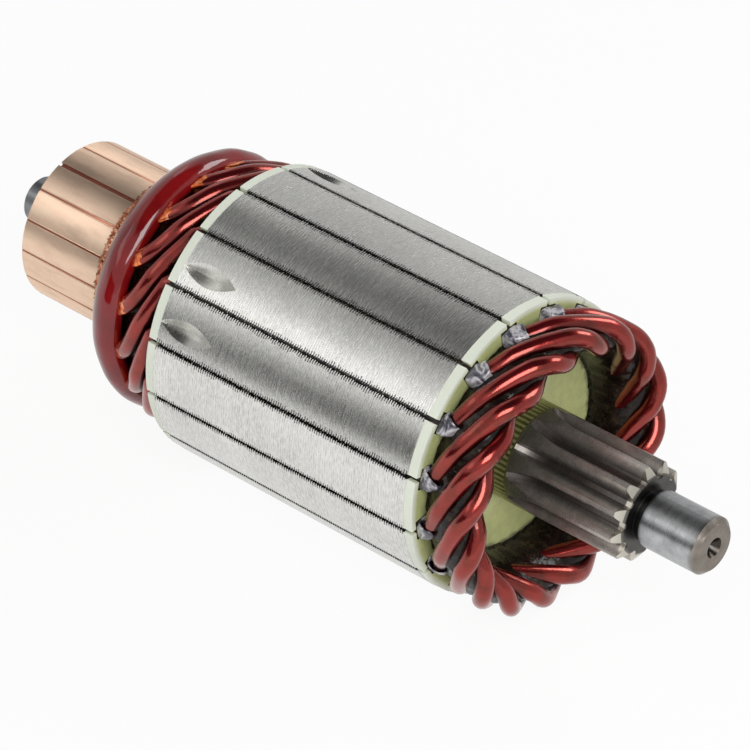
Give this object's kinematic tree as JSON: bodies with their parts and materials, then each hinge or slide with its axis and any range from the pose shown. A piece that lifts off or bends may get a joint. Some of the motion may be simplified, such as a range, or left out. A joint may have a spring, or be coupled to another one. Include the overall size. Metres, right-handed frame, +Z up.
{
  "type": "starter motor armature",
  "caption": "Wound rotor of a geared starter motor: laminated core with hairpin windings, copper commutator and a shaft cut as a small pinion at the drive end.",
  "frame": {"origin": "on the shaft axis, at the middle of the lamination stack's length", "axes": "+X along the shaft towards the pinion and the drive-end journal, +Z up with the shaft level"},
  "size_m": [0.1613, 0.0566, 0.0566],
  "materials": {
    "shaft_steel": "ground and hobbed steel",
    "lamination_steel": "turned stack of thin sheets",
    "insulating_board": "varnished pale green-yellow board",
    "insulating_film": "thin grey film",
    "red_enamelled_copper": "glossy red enamel on copper wire",
    "commutator_copper": "turned bare copper",
    "moulding_resin": "dark brown moulding",
    "red_resin": "glossy dark red resin"
  },
  "bodies": {
    "root": {"armature_shaft": "shaft_steel", "lamination_core": "lamination_steel", "front_insulator": "insulating_board", "rear_insulator": "insulating_board", "commutator_moulding": "moulding_resin", "shaft_sleeve": "insulating_film", "binding_band": "red_resin", "slot_liner_01": "insulating_film", "slot_liner_02": "insulating_film", "slot_liner_03": "insulating_film", "slot_liner_04": "insulating_film", "slot_liner_05": "insulating_film", "slot_liner_06": "insulating_film", "slot_liner_07": "insulating_film", "slot_liner_08": "insulating_film", "slot_liner_09": "insulating_film", "slot_liner_10": "insulating_film", "slot_liner_11": "insulating_film", "slot_liner_12": "insulating_film", "slot_liner_13": "insulating_film", "slot_liner_14": "insulating_film", "slot_liner_15": "insulating_film", "slot_liner_16": "insulating_film", "hairpin_01": "red_enamelled_copper", "hairpin_02": "red_enamelled_copper", "hairpin_03": "red_enamelled_copper", "hairpin_04": "red_enamelled_copper", "hairpin_05": "red_enamelled_copper", "hairpin_06": "red_enamelled_copper", "hairpin_07": "red_enamelled_copper", "hairpin_08": "red_enamelled_copper", "hairpin_09": "red_enamelled_copper", "hairpin_10": "red_enamelled_copper", "hairpin_11": "red_enamelled_copper", "hairpin_12": "red_enamelled_copper", "hairpin_13": "red_enamelled_copper", "hairpin_14": "red_enamelled_copper", "hairpin_15": "red_enamelled_copper", "hairpin_16": "red_enamelled_copper", "commutator_bar_01": "commutator_copper", "commutator_bar_02": "commutator_copper", "commutator_bar_03": "commutator_copper", "commutator_bar_04": "commutator_copper", "commutator_bar_05": "commutator_copper", "commutator_bar_06": "commutator_copper", "commutator_bar_07": "commutator_copper", "commutator_bar_08": "commutator_copper", "commutator_bar_09": "commutator_copper", "commutator_bar_10": "commutator_copper", "commutator_bar_11": "commutator_copper", "commutator_bar_12": "commutator_copper", "commutator_bar_13": "commutator_copper", "commutator_bar_14": "commutator_copper", "commutator_bar_15": "commutator_copper", "commutator_bar_16": "commutator_copper"}
  },
  "joints": []
}
